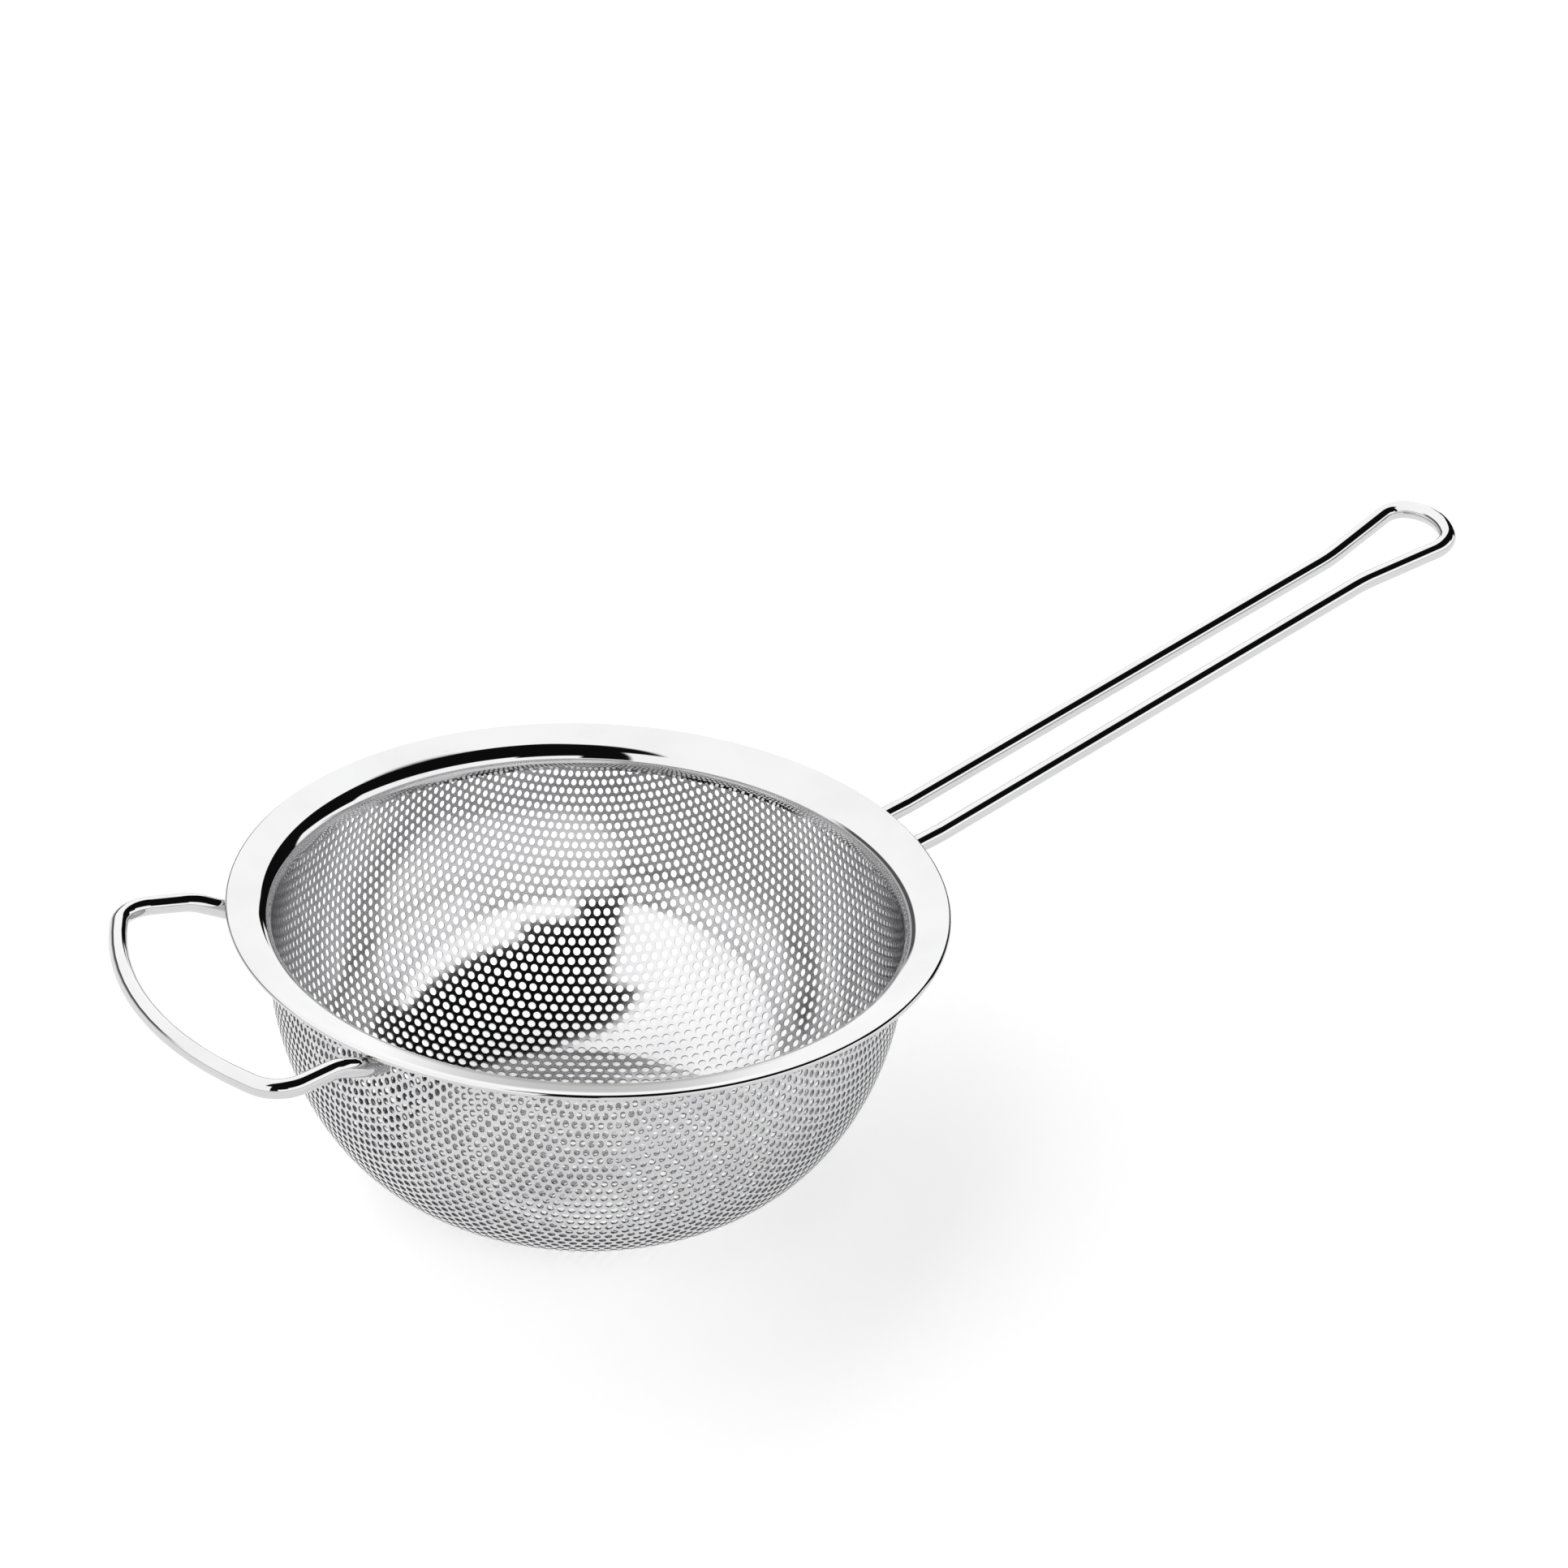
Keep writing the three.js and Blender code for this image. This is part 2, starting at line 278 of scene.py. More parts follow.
BAR_BEARINGS = (0, 60, 120)
ISLAND_BEARINGS = (30, 90)
fill_at(PITCH / 2, BAR_BEARINGS)
fill_at(PITCH / math.sqrt(3), ISLAND_BEARINGS)
select_only(blank, "verts", lambda vert: not vert.link_faces)
bpy.ops.mesh.delete(type="VERT")
select_only(blank, "edges", lambda e: not e.link_faces)
bpy.ops.mesh.delete(type="EDGE")
bpy.ops.object.mode_set(mode="OBJECT")
report(blank)

# %% [markdown]
# ## From cell to disc
#
# The rows are copied out a little past the disc. The press keeps the rows' pitch up the wall, so
# the holes need to reach as far from the middle as the wall is long, measured along the sheet.


# %% The bowl's section, by length along the sheet
CORNER_STEPS = 120
EDGE_STEPS = 60
PLAIN_EDGE = 5 * MM


def bowl_section():
    middle = WALL_RADIUS - SHEET / 2
    corner_top = roll_centre.y - WALL_STRAIGHT
    corner_centre = Vector((BASE_RADIUS, corner_top))
    width = middle - BASE_RADIUS
    height = corner_top - SHEET / 2
    points = [Vector((0, SHEET / 2))]
    for i in range(CORNER_STEPS + 1):
        angle = math.pi / 2 * i / CORNER_STEPS
        points.append(corner_centre + Vector((width * math.sin(angle), -height * math.cos(angle))))
    points += arc(roll_centre, roll_centre.x - middle, 180, on_top, EDGE_STEPS)
    points.append(hem_centre + down_slope * SHEET_GAP * 3)
    return np.array([p[:] for p in points])


section = bowl_section()
steps_along = np.linalg.norm(np.diff(section, axis=0), axis=1)
along = np.concatenate([[0], np.cumsum(steps_along)])
BLANK_RADIUS = along[-1]
HOLES_TO = BLANK_RADIUS - PLAIN_EDGE
print("blank radius %.1f mm, holes to %.1f mm" % (BLANK_RADIUS / MM, HOLES_TO / MM))

# %% Rows of cells, cut to a disc
rows_out = int(BLANK_RADIUS / ROW) + 2
cells_out = int(BLANK_RADIUS / PITCH) + rows_out // 2 + 2
across = blank.modifiers.new("across", "ARRAY")
across.use_relative_offset = False
across.use_constant_offset = True
across.constant_offset_displace = (PITCH, 0, 0)
across.count = 2 * cells_out + 1
up = blank.modifiers.new("up", "ARRAY")
up.use_relative_offset = False
up.use_constant_offset = True
up.constant_offset_displace = (PITCH / 2, ROW, 0)
up.count = 2 * rows_out + 1
apply_all(blank)
edit(blank)
bpy.ops.mesh.select_all(action="SELECT")
start = -cells_out * Vector((PITCH, 0)) - rows_out * Vector((PITCH / 2, ROW))
half_row = Vector((PITCH / 4, ROW / 2))
bpy.ops.transform.translate(value=(start.x + half_row.x, start.y + half_row.y, 0))
outside = select_only(blank, "faces", lambda f: f.calc_center_median().length > HOLES_TO)
bpy.ops.mesh.delete(type="FACE")
bpy.ops.mesh.select_all(action="SELECT")
bpy.ops.mesh.remove_doubles(threshold=0.02 * MM)
print(outside, "faces trimmed off")

# %% [markdown]
# The disc's edge is still a jagged line of cells, so a plain margin is filled in between it and
# the true round edge. The holes are boundaries as well, and they have to stay open: a boundary
# with exactly twelve corners in a ring the size of a hole is a hole, and the rest is the edge.


# %% The plain margin round the holes
def boundary_chains(mesh):
    """Groups the boundary edges into chains that share corners."""
    left = {e for e in mesh.edges if len(e.link_faces) == 1}
    chains = []
    while left:
        chain = set()
        waiting = [left.pop()]
        while waiting:
            edge = waiting.pop()
            chain.add(edge)
            for vert in edge.verts:
                for other in vert.link_edges:
                    if other in left:
                        left.remove(other)
                        waiting.append(other)
        chains.append(chain)
    return chains


DISC_SIDES = 360
bpy.ops.mesh.primitive_circle_add(vertices=DISC_SIDES, radius=BLANK_RADIUS)
mesh = bmesh.from_edit_mesh(blank.data)
mesh.edges.index_update()
chains = boundary_chains(mesh)
holes = [chain for chain in chains if len(chain) == HOLE_SIDES]
cell_edges = {e.index for chain in chains if len(chain) != HOLE_SIDES for e in chain}
picked = select_only(blank, "edges", lambda e: e.index in cell_edges or not e.link_faces)
print(len(holes), "holes,", len(cell_edges), "edges round the cells,", picked, "picked")
bpy.ops.mesh.fill(use_beauty=True)
bpy.ops.mesh.select_all(action="SELECT")
bpy.ops.mesh.normals_make_consistent(inside=False)
bpy.ops.object.mode_set(mode="OBJECT")
report(blank)

# %% [markdown]
# ## Two halves, then the press
#
# The blank has a hole for every few square millimetres, so it is a heavy mesh. It is kept as two
# halves that meet along a line between two rows of holes, and each is thickened while it is flat,
# where that is exact. Then the press: a point keeps its bearing and its length along the sheet,
# and moves to that place on the bowl's section. The rows keep their pitch up the wall, and the
# holes close up sideways, as they do on the real bowl. No operator does this, so it is code.


# %% The press
ROW_BEARING = math.radians(-27.2)


def press(piece):
    """Moves the flat blank's points to the bowl's section, thickness and all."""
    flat = np.empty(len(piece.data.vertices) * 3)
    piece.data.vertices.foreach_get("co", flat)
    flat = flat.reshape(-1, 3)
    length = np.hypot(flat[:, 0], flat[:, 1])
    bearing = np.arctan2(flat[:, 1], flat[:, 0]) + ROW_BEARING
    slopes = np.gradient(section, along, axis=0)
    slopes /= np.linalg.norm(slopes, axis=1)[:, None]
    radius, height, run, rise = [
        np.interp(length, along, values)
        for values in (section[:, 0], section[:, 1], slopes[:, 0], slopes[:, 1])
    ]
    radius = radius - rise * flat[:, 2]
    height = height + run * flat[:, 2]
    pressed = np.stack([radius * np.cos(bearing), radius * np.sin(bearing), height], axis=1)
    piece.data.vertices.foreach_set("co", pressed.ravel())
    piece.data.update()


def half_of_bowl(name, side):
    clean_slate()
    blank.select_set(True)
    bpy.context.view_layer.objects.active = blank
    bpy.ops.object.duplicate()
    half = named(name)
    edit(half)
    select_only(half, "faces", lambda f: f.calc_center_median().y * side < 0)
    bpy.ops.mesh.delete(type="FACE")
    bpy.ops.object.mode_set(mode="OBJECT")
    wall = half.modifiers.new("sheet", "SOLIDIFY")
    wall.thickness = SHEET
    wall.offset = 0
    apply_all(half)
    press(half)
    smooth(half, 50)
    report(half)
    return half


bowl_halves = [
    half_of_bowl("perforated_bowl_front", -1),
    half_of_bowl("perforated_bowl_back", 1),
]
bpy.data.objects.remove(blank)

# %% [markdown]
# ## Bent wire
#
# A wire-bending machine feeds a straight length, swings it round a former, and feeds again. The
# model is made in the same steps: a round face is extruded along each straight and spun about
# each bend's centre. The corners of the route are where the straights would cross.


# %% Bend a wire
WIRE_SIDES = 32
BEND_STEP = math.radians(4)
END_BEVEL = 0.35 * MM


def bent_wire(name, corners, radii):
    here = corners[0]
    heading = (corners[1] - corners[0]).normalized()
    tilt = heading.to_track_quat("Z", "Y").to_euler()
    clean_slate()
    bpy.ops.mesh.primitive_circle_add(
        vertices=WIRE_SIDES, radius=WIRE_RADIUS, fill_type="NGON", location=here, rotation=tilt)
    piece = named(name)
    in_place(piece)
    edit(piece)
    bpy.ops.mesh.select_all(action="SELECT")
    for corner, after, radius in zip(corners[1:], corners[2:], radii):
        leaving = (after - corner).normalized()
        turn = heading.angle(leaving)
        start = corner - heading * radius * math.tan(turn / 2)
        bpy.ops.mesh.extrude_region_move(TRANSFORM_OT_translate={"value": start - here})
        axis = heading.cross(leaving).normalized()
        centre = start + axis.cross(heading) * radius
        steps = max(2, math.ceil(turn / BEND_STEP))
        bpy.ops.mesh.spin(steps=steps, angle=-turn, center=centre, axis=axis)
        here = centre + Matrix.Rotation(turn, 3, axis) @ (start - centre)
        heading = leaving
    bpy.ops.mesh.extrude_region_move(TRANSFORM_OT_translate={"value": corners[-1] - here})
    select_only(piece, "faces", lambda f: len(f.verts) == WIRE_SIDES)
    bpy.ops.mesh.region_to_loop()
    bpy.ops.mesh.bevel(offset=END_BEVEL, segments=3, affect="EDGES")
    bpy.ops.mesh.select_all(action="SELECT")
    bpy.ops.mesh.normals_make_consistent(inside=False)
    bpy.ops.object.mode_set(mode="OBJECT")
    smooth(piece, 40)
    report(piece)
    return piece


# %% Where wires meet the rim
WELD_GAP = 0.5 * MM
WIRE_END_MARGIN = 0.4 * MM
wire_offset = hem_radius + WELD_GAP + WIRE_RADIUS
lip_end_radius = hem_centre.x - hem_radius * flange_normal.x + LIP_WIDTH * down_slope.x
wire_end_radius = lip_end_radius - WIRE_END_MARGIN


def under_rim(plan):
    """The wire's centre where it lies against the rim's underside, at a plan position."""
    inward = hem_centre.x - plan.length
    return Vector((*plan, hem_centre.y - inward * math.tan(SLOPE) - wire_offset / math.cos(SLOPE)))


def plan_at_radius(point, direction, radius):
    ahead = point.dot(direction)
    across = point.length_squared - ahead * ahead
    return point + direction * (math.sqrt(radius * radius - across) - ahead)


def bowed_end(reach, inset, half_width, bow):
    """Where the corner and the bow's apex lie along a closed end, and the bow's radius."""
    corner = reach - inset
    apex = corner + half_width * math.tan(bow)
    return corner, apex, (apex - reach) / (1 / math.cos(bow) - 1)


def closed_wire(name, half, apex, radii, bow_radius):
    other = [Vector((p.x, -p.y, p.z)) for p in reversed(half)]
    return bent_wire(name, half + [apex] + other, radii + [bow_radius] + radii[::-1])


# %% [markdown]
# ## The handle
#
# One wire runs out from the rim, closes into a rounded hanging eye at the far end, and runs back
# beside itself. It climbs at 19 degrees, and its last few millimetres are bent inwards to lie
# against the rim's underside, where they are welded.

# %% The handle's route
RISE = math.radians(18.96)
HANDLE_START_DEPTH = 4.43 * MM
BEND_RADIUS = 12 * MM
handle_foot = Vector((RIM_RADIUS, 0, RIM_HEIGHT - HANDLE_START_DEPTH))


def on_handle(distance, side):
    return handle_foot + Vector((distance * math.cos(RISE), side, distance * math.sin(RISE)))


HANDLE_HALF_GAP = 7.2 * MM
EYE_HALF_GAP = 6.8 * MM
HANDLE_LENGTH = 157.2 * MM
EYE_LENGTH = 26.7 * MM
EYE_HALF_WIDTH = 10.9 * MM
EYE_CORNER_INSET = 3.9 * MM
EYE_BOW = math.radians(30)
EYE_START_RADIUS = 29 * MM
EYE_CORNER_RADIUS = 5.4 * MM
eye_corner, eye_apex, eye_bow = bowed_end(HANDLE_LENGTH, EYE_CORNER_INSET, EYE_HALF_WIDTH, EYE_BOW)
outwards = Vector((1, 0))
at_rim = Vector((RIM_RADIUS, HANDLE_HALF_GAP))
handle_end = under_rim(plan_at_radius(at_rim, outwards, wire_end_radius))
rim_point = under_rim(at_rim)
weld_slope = (rim_point.z - handle_end.z) / (rim_point.x - handle_end.x)
to_kink = (rim_point.z - handle_foot.z) / (math.tan(RISE) - weld_slope)
handle_half = [
    handle_end,
    on_handle(to_kink / math.cos(RISE), HANDLE_HALF_GAP),
    on_handle(HANDLE_LENGTH - EYE_LENGTH, EYE_HALF_GAP),
    on_handle(eye_corner, EYE_HALF_WIDTH),
]
handle = closed_wire("polished_handle_wire", handle_half, on_handle(eye_apex, 0),
                     [BEND_RADIUS, EYE_START_RADIUS, EYE_CORNER_RADIUS], eye_bow)

# %% [markdown]
# ## The support loop
#
# A wide loop of the same wire sits level at the rim, opposite the handle, and rests on the edge
# of a pot or a cup. Its arms splay outwards, and dip under the rim for the last few millimetres.

# %% The support loop's route
LOOP_SPLAY = math.radians(14.8)
LOOP_REACH = 25.2 * MM
LOOP_DEPTH = 1.1 * MM
LOOP_HALF_WIDTH = 40.8 * MM
LOOP_DROP = 1 * MM
LOOP_CORNER_INSET = 11.3 * MM
LOOP_CORNER_RADIUS = 8.1 * MM
LOOP_BOW = math.radians(26.5)
loop_outwards = Vector((-math.cos(LOOP_SPLAY), math.sin(LOOP_SPLAY)))
loop_corner, loop_apex, loop_bow = bowed_end(
    RIM_RADIUS + LOOP_REACH, LOOP_CORNER_INSET, LOOP_HALF_WIDTH, LOOP_BOW)
loop_height = RIM_HEIGHT - LOOP_DEPTH
corner_plan = Vector((-loop_corner, LOOP_HALF_WIDTH))
arm = (loop_corner - RIM_RADIUS + LOOP_DROP) / math.cos(LOOP_SPLAY)
drop_plan = corner_plan - loop_outwards * arm
loop_half = [
    under_rim(plan_at_radius(corner_plan, loop_outwards, wire_end_radius)),
    under_rim(plan_at_radius(corner_plan, loop_outwards, RIM_RADIUS)),
    Vector((*drop_plan, loop_height)),
    Vector((*corner_plan, loop_height)),
]
loop = closed_wire("polished_support_loop_wire", loop_half, Vector((-loop_apex, 0, loop_height)),
                   [BEND_RADIUS, BEND_RADIUS, LOOP_CORNER_RADIUS], loop_bow)

# %% [markdown]
# ## Welds
#
# Each wire end is joined to the lip by a short bead of weld metal that wets both surfaces. A
# bead is a squashed ball with a rippled skin: the ball is scaled along the wire, widened where
# it meets the rim, and roughened by a Displace modifier.

# %% The welds
WELD_LENGTH = 4.6 * MM
WELD_WIDTH = 5 * MM
WELD_HEIGHT = 2 * MM
RIM_SIDE = (1.08, 1.12, 0.35)  # the half against the rim is wider and flatter
RIPPLE_DEPTH = 0.35 * MM
ripple = bpy.data.textures.new("weld_ripple", "CLOUDS")
ripple.noise_scale = 0.9 * MM
ripple.noise_depth = 2


def weld_bead(name, wire_end, towards):
    along_wire = (towards.xy - wire_end.xy).normalized()
    start = plan_at_radius(wire_end.xy, along_wire, lip_end_radius + WIRE_END_MARGIN)
    middle = start + along_wire * WELD_LENGTH / 2
    radial = middle.normalized()
    up = Vector((*(radial * flange_normal.x), flange_normal.y))
    run = Vector((*along_wire, math.tan(SLOPE) * along_wire.dot(radial))).normalized()
    place = under_rim(middle) + up * (WIRE_RADIUS + WELD_GAP / 2)
    clean_slate()
    bpy.ops.mesh.primitive_uv_sphere_add(segments=40, ring_count=20, radius=0.5)
    bead = named(name)
    edit(bead)
    bpy.ops.mesh.select_all(action="SELECT")
    bpy.ops.transform.resize(value=(WELD_LENGTH, WELD_WIDTH, WELD_HEIGHT), center_override=(0, 0, 0))
    select_only(bead, "verts", lambda v: v.co.z > 0)
    bpy.ops.transform.resize(value=RIM_SIDE, center_override=(0, 0, 0))
    bpy.ops.object.mode_set(mode="OBJECT")
    skin = bead.modifiers.new("ripple", "DISPLACE")
    skin.texture = ripple
    skin.strength = RIPPLE_DEPTH
    skin.mid_level = 0.6
    apply_all(bead)
    axes = Matrix((run, up.cross(run), up)).transposed().to_4x4()
    bead.matrix_world = Matrix.Translation(place) @ axes
    in_place(bead)
    smooth(bead, 60)
    report(bead)
    return bead


welds = {}
for prefix, half in (("handle_weld", handle_half), ("support_weld", loop_half)):
    for side, flip in (("left", 1), ("right", -1)):
        ends = [Vector((p.x, p.y * flip, p.z)) for p in half[:2]]
        welds[prefix + "_" + side] = weld_bead(prefix + "_bead_" + side, *ends)

# %% [markdown]
# ## Writing a material as sums
#
# A material is mostly arithmetic on patterns. A small class wraps a socket so that Python's own
# operators add the Math nodes, and one method adds any other node.


# %% Shader maths
class Value:
    """A number that varies over the surface: +, - and * add Math nodes."""

    def __init__(self, nodes, socket):
        self.nodes = nodes
        self.socket = socket

    def maths(self, operation, first, second):
        return self.nodes.add("ShaderNodeMath", {"operation": operation}, {0: first, 1: second})

    def __add__(self, other):
        return self.maths("ADD", self, other)

    def __radd__(self, other):
        return self.maths("ADD", other, self)

    def __sub__(self, other):
        return self.maths("SUBTRACT", self, other)

    def __rsub__(self, other):
        return self.maths("SUBTRACT", other, self)

    def __mul__(self, other):
        return self.maths("MULTIPLY", self, other)

    def __rmul__(self, other):
        return self.maths("MULTIPLY", other, self)

    def step(self, low, high):
        """0 below low, 1 above high, and smooth between."""
        return self.nodes.add("ShaderNodeMapRange", {"interpolation_type": "SMOOTHSTEP"},
                              {"Value": self, "From Min": low, "From Max": high})


class Nodes:
    """The node tree of a material or of the world."""

    def __init__(self, tree):
        self.tree = tree
        tree.nodes.clear()

    def add(self, kind, settings=None, values=None, output=0):
        node = self.tree.nodes.new(kind)
        for name, setting in (settings or {}).items():
            setattr(node, name, setting)
        for name, value in (values or {}).items():
            if isinstance(value, Value):
                self.tree.links.new(value.socket, node.inputs[name])
            else:
                node.inputs[name].default_value = value
        return Value(self, node.outputs[output]) if node.outputs else node

    def mix(self, factor, first, second):
        node = self.tree.nodes.new("ShaderNodeMix")
        node.data_type = "RGBA"
        for name, value in (("Factor", factor), ("A", first), ("B", second)):
            socket = next(i for i in node.inputs if i.name == name and i.enabled)
            if isinstance(value, Value):
                self.tree.links.new(value.socket, socket)
            else:
                socket.default_value = value
        return Value(self, next(o for o in node.outputs if o.enabled))


def grey(level, blue=0.0):
    """A grey, with a little more blue if asked."""
    return (level, level, level + blue, 1)


def metal(name):
    material = bpy.data.materials.new(name)
    material.use_nodes = True
    nodes = Nodes(material.node_tree)
    place = nodes.add("ShaderNodeTexCoord", output="Object")
    return material, nodes, place


def noise(nodes, place, size, detail=3.0, stretch=(1, 1, 1)):
    """Noise with features of the given size in metres, drawn out along the stretched axes."""
    scaled = nodes.add("ShaderNodeMapping", {"vector_type": "POINT"},
                       {"Vector": place, "Scale": tuple(1 / (size * s) for s in stretch)})
    return nodes.add("ShaderNodeTexNoise", None, {"Vector": scaled, "Scale": 1.0, "Detail": detail})


def finish_metal(nodes, colour, roughness, height, depth):
    normal = nodes.add("ShaderNodeBump", None, {"Height": height, "Distance": depth, "Strength": 1.0})
    surface = nodes.add("ShaderNodeBsdfPrincipled", None, {
        "Base Color": colour, "Metallic": 1.0, "Roughness": roughness, "Normal": normal})
    nodes.add("ShaderNodeOutputMaterial", None, {"Surface": surface})

# %% [markdown]
# ## Polished steel
#
# The rim and the wires are buffed to a mirror. A real mirror finish is never even: wiping leaves
# faint cloudy patches and hairline scratches, and both show only in the reflections, so they go
# into the roughness and into a very shallow bump.


# %% Polished steel
def polished_steel(name, grain):
    """A buffed finish whose hairline scratches are drawn out along the grain."""
    material, nodes, place = metal(name)
    cloud = noise(nodes, place, 22 * MM, 4.0).step(0.4, 0.7)
    hairs = noise(nodes, place, 0.5 * MM, 2.0, grain)
    scratch = hairs.step(0.64, 0.78)
    colour = nodes.mix(cloud, grey(0.63, 0.005), grey(0.60, 0.005))
    roughness = 0.02 + cloud * 0.03 + scratch * 0.05
    finish_metal(nodes, colour, roughness, hairs, 0.0003 * MM)
    return material


rim_steel = polished_steel("polished_rim_steel", (6, 6, 1))
handle_steel = polished_steel("polished_handle_steel", (14, 1, 4))
loop_steel = polished_steel("polished_loop_steel", (2, 14, 1))

# %% [markdown]
# ## Perforated steel
#
# The bowl's sheet is bright but not buffed: pressing leaves it a little cloudy and grained. The
# cut walls of the holes are rougher than the sheet, and they are painted dark grey as painted
# shade inside the holes. They are told apart by an attribute, written on the faces that stand on
# edge to the sheet.


# %% Mark the cut edges of the holes
def mark_cut_edges(piece):
    """Writes 1 on the walls of the holes and 0 on the sheet's faces."""
    mesh = piece.data
    count = len(mesh.polygons)
    normals = np.empty(count * 3)
    centres = np.empty(count * 3)
    mesh.polygons.foreach_get("normal", normals)
    mesh.polygons.foreach_get("center", centres)
    normals = normals.reshape(-1, 3)
    centres = centres.reshape(-1, 3)
    radius = np.hypot(centres[:, 0], centres[:, 1])
    slopes = np.gradient(section, along, axis=0)
    nearest = [np.argmin(np.hypot(section[:, 0] - r, section[:, 1] - z))
               for r, z in zip(radius, centres[:, 2])]
    run, rise = slopes[nearest, 0], slopes[nearest, 1]
    outward = centres[:, :2] / np.maximum(radius, 1e-9)[:, None]
    sheet = np.stack([-rise * outward[:, 0], -rise * outward[:, 1], run], axis=1)
    facing = np.abs((normals * sheet).sum(axis=1)) / np.linalg.norm(sheet, axis=1)
    cut = mesh.attributes.new("cut_edge", "FLOAT", "FACE")
    cut.data.foreach_set("value", (facing < 0.5).astype(np.float32))
    print(piece.name, int((facing < 0.5).sum()), "faces of cut edge")


for half in bowl_halves:
    mark_cut_edges(half)


# %% Perforated steel
def perforated_steel():
    material, nodes, place = metal("satin_perforated_steel")
    cut = nodes.add("ShaderNodeAttribute", {"attribute_name": "cut_edge"}, output="Fac")
    cloud = noise(nodes, place, 16 * MM, 4.0).step(0.35, 0.7)
    grain = noise(nodes, place, 0.25 * MM, 3.0)
    sheet = nodes.mix(cloud, grey(0.63, 0.005), grey(0.58, 0.01))
    # painted shade: the hole walls get a dark grey colour that stands in for the shade inside the
    # holes
    colour = nodes.mix(cut, sheet, grey(0.24, 0.01))
    roughness = 0.08 + cloud * 0.04 + grain * 0.04 + cut * 0.25
    finish_metal(nodes, colour, roughness, grain, 0.002 * MM)
    return material


sheet_steel = perforated_steel()

# %% [markdown]
# ## Weld metal
#
# A weld cools dull, with straw and grey heat tints.


# %% Weld metal
STRAW = (0.47, 0.41, 0.33, 1)
DULL = (0.56, 0.55, 0.53, 1)


def weld_metal():
    material, nodes, place = metal("weld_metal")
    tint = noise(nodes, place, 1.6 * MM, 3.0).step(0.35, 0.65)
    grain = noise(nodes, place, 0.2 * MM, 3.0)
    colour = nodes.mix(tint, DULL, STRAW)
    finish_metal(nodes, colour, 0.34 + grain * 0.2, grain, 0.01 * MM)
    return material


bead_steel = weld_metal()

# %% [markdown]
# ## Handing the pieces over
#
# Each piece rides on the one rigid body, stands for its plain solid, and takes its material.


# %% Ride, replace and give a material
def hand_over(piece, material, slot, *solids):
    piece.data.materials.clear()
    piece.data.materials.append(material)
    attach(piece, "root")
    if solids:
        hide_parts(*solids)


for half in bowl_halves:
    hand_over(half, sheet_steel, "perforated_sheet", "perforated_bowl")
hand_over(rim, rim_steel, "polished_rim", "rim_ring")
hand_over(handle, handle_steel, "polished_wire", "handle_wire")
hand_over(loop, loop_steel, "polished_wire", "support_loop_wire")
for solid, bead in welds.items():
    hand_over(bead, bead_steel, "weld_metal", solid)

# %% [markdown]
# ## The floor
#
# A plain pale disc, wide enough that its edge is the horizon. It glows a little, as paper does
# under studio lamps, so that the strainer's own shadow stays soft.

# %% The floor
FLOOR_RADIUS = 6
FLOOR_MIDDLE = 2
FLOOR_GLOW = 0.42
clean_slate()
bpy.ops.mesh.primitive_circle_add(vertices=96, radius=FLOOR_RADIUS, fill_type="NGON")
floor = named("pale_floor")
edit(floor)
bpy.ops.mesh.select_all(action="SELECT")
bpy.ops.mesh.inset(thickness=FLOOR_RADIUS - FLOOR_MIDDLE)
bpy.ops.object.mode_set(mode="OBJECT")
pale = bpy.data.materials.new("pale_floor")
pale.use_nodes = True
nodes = Nodes(pale.node_tree)
shade = nodes.add("ShaderNodeBsdfPrincipled", None, {
    "Base Color": grey(0.9), "Roughness": 0.8, "Specular IOR Level": 0.1,
    "Emission Color": grey(1), "Emission Strength": FLOOR_GLOW})
nodes.add("ShaderNodeOutputMaterial", None, {"Surface": shade})
floor.data.materials.append(pale)
print("floor radius", FLOOR_RADIUS, "m")

# %% [markdown]
# ## The room
#
# Polished steel shows only what stands round it, so the light is designed as a room. It is pale
# all round and duller at the horizon. One large dark area covers the ceiling and the right. It
# comes down to the horizon at the far right, and lower on the near side; a dark band runs low
# along the left. Their edges give the wires and the rim their crisp dark lines, and the bowl its
# dark patch. Each edge is a great circle or a level, so an area is a product of soft steps.

# %% Directions in the room
VIEW_AZIMUTH = 32.21
SOFT_EDGE = 0.03
FIRM_EDGE = 0.02
SHARP_EDGE = 0.01


def bearing(azimuth, elevation):
    """A direction, by its azimuth from the right of the view and its elevation."""
    a = math.radians(azimuth - VIEW_AZIMUTH)
    e = math.radians(elevation)
    return Vector((math.cos(a) * math.cos(e), math.sin(a) * math.cos(e), math.sin(e)))


world = bpy.data.worlds.new("studio")
bpy.context.scene.world = world
world.use_nodes = True
nodes = Nodes(world.node_tree)
direction = nodes.add("ShaderNodeTexCoord", output="Generated")


def beyond(first, second, softness=SOFT_EDGE):
    """1 on the left of the great circle that runs from the first direction to the second."""
    pole = first.cross(second).normalized()
    side = nodes.add("ShaderNodeVectorMath", {"operation": "DOT_PRODUCT"},
                     {0: direction, 1: pole}, output="Value")
    return side.step(-softness, softness)


def right_of(azimuth, softness=FIRM_EDGE):
    """1 on the right of a meridian, 0 on its left."""
    return beyond(bearing(azimuth, 0), bearing(azimuth, 60), softness)


def over(elevation, softness=SOFT_EDGE):
    """1 above an elevation, all the way round."""
    height = nodes.add("ShaderNodeSeparateXYZ", None, {"Vector": direction}, output="Z")
    level = math.sin(math.radians(elevation))
    return height.step(level - softness, level + softness)


def either(first, *others):
    """1 where any of the areas is 1."""
    for other in others:
        first = 1 - (1 - first) * (1 - other)
    return first


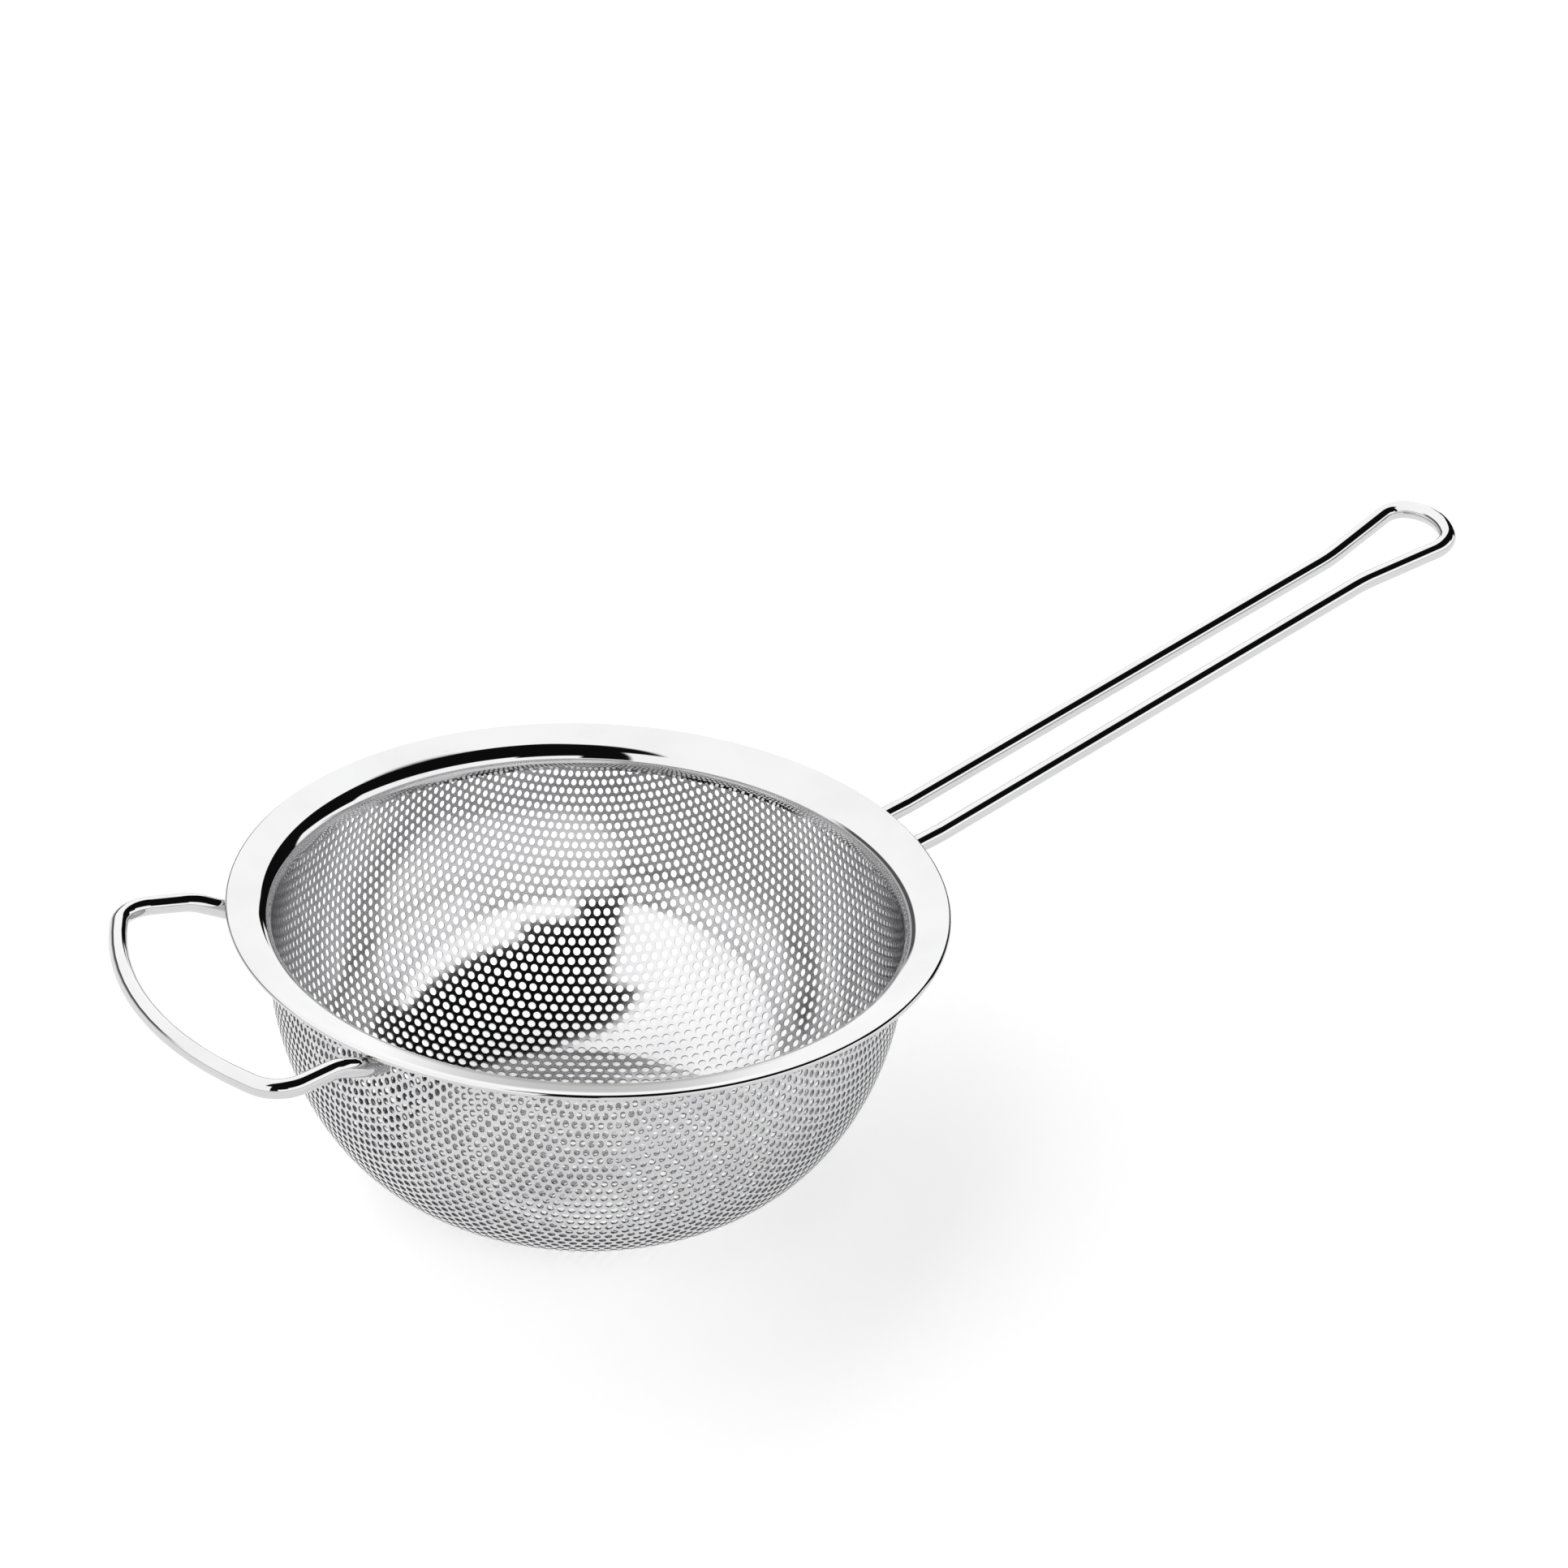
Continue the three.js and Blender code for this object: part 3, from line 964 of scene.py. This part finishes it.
# %% The room's dark areas
right_wall = right_of(73.5, SHARP_EDGE) * (1 - right_of(36)) * over(1, FIRM_EDGE)
step_down = right_of(38) * (1 - right_of(8)) * over(22, FIRM_EDGE)
near_side = right_of(-58) * (1 - right_of(-100)) * over(24, FIRM_EDGE)
tall_stand = right_of(-82) * (1 - right_of(-100)) * over(8)
far_corner = (right_of(79.5, SHARP_EDGE) * (1 - right_of(60))
              * over(12) * (1 - over(23.5, SHARP_EDGE)))
far_edge = beyond(bearing(71.5, 42), bearing(81, 60), SHARP_EDGE) * over(42)
above = either(far_edge, right_of(72.5, SHARP_EDGE)) * right_of(86) * over(31.5, FIRM_EDGE)
ceiling = beyond(bearing(85, 70), bearing(-122, 60)) * over(57)
left_band = (right_of(176, 0.12) * (1 - right_of(108, 0.04))
             * over(5, 0.05) * (1 - over(19)) * 0.92)
dark = either(right_wall, above, step_down, ceiling, far_corner, near_side, tall_stand, left_band)

# %% The room's light
HORIZON = (0.62, 0.61, 0.60, 1)
PALE_WALLS = grey(1.45)
DARK_WALLS = grey(0.006)
wall = nodes.mix(over(5, 0.06), HORIZON, PALE_WALLS)
room = nodes.mix(dark, wall, DARK_WALLS)
studio = nodes.add("ShaderNodeBackground", None, {"Color": room, "Strength": 1.0})
nodes.add("ShaderNodeOutputWorld", None, {"Surface": studio})
print(len(world.node_tree.nodes), "nodes in the room")

# %% [markdown]
# ## The camera
#
# A long lens from the near left, well above the rim, so that the inside of the bowl shows. The
# camera is rolled a few degrees.

# %% The camera
VIEW_ELEVATION = 29.24
VIEW_ROLL = 3.42
VIEW_PLACE = (-0.3904, -0.6971, 0.5447)
clean_slate()
lens = bpy.data.cameras.new("camera")
lens.lens = 96.68
lens.sensor_width = 36
lens.clip_start = 0.01
camera = bpy.data.objects.new("camera", lens)
bpy.context.scene.collection.objects.link(camera)
camera.matrix_world = (
    Matrix.Translation(VIEW_PLACE)
    @ Matrix.Rotation(math.radians(-VIEW_AZIMUTH), 4, "Z")
    @ Matrix.Rotation(math.radians(90 - VIEW_ELEVATION), 4, "X")
    @ Matrix.Rotation(math.radians(VIEW_ROLL), 4, "Z")
)
bpy.context.scene.camera = camera
bpy.context.scene.view_settings.view_transform = "Standard"
